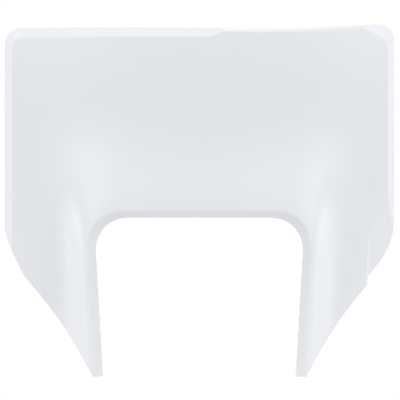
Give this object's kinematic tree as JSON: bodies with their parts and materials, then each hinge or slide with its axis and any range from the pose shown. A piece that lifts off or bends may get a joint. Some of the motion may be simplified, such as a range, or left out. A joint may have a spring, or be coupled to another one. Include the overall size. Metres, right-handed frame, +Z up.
{
  "type": "headlight mask",
  "caption": "Moulded white headlight mask for an off-road motorbike: a wide number panel over an arched lamp opening with tapering legs, screw bosses behind for the lamp",
  "frame": {"origin": "centre of the lamp bosses, in the plane of their rear seats", "axes": "+X to the right of a viewer in front, +Y towards the rear, out of the boss holes, +Z up"},
  "size_m": [0.285, 0.0602, 0.2564],
  "materials": {
    "shell": "satin white, as moulded"
  },
  "bodies": {
    "root": {"headlight_mask": "shell"}
  },
  "joints": []
}
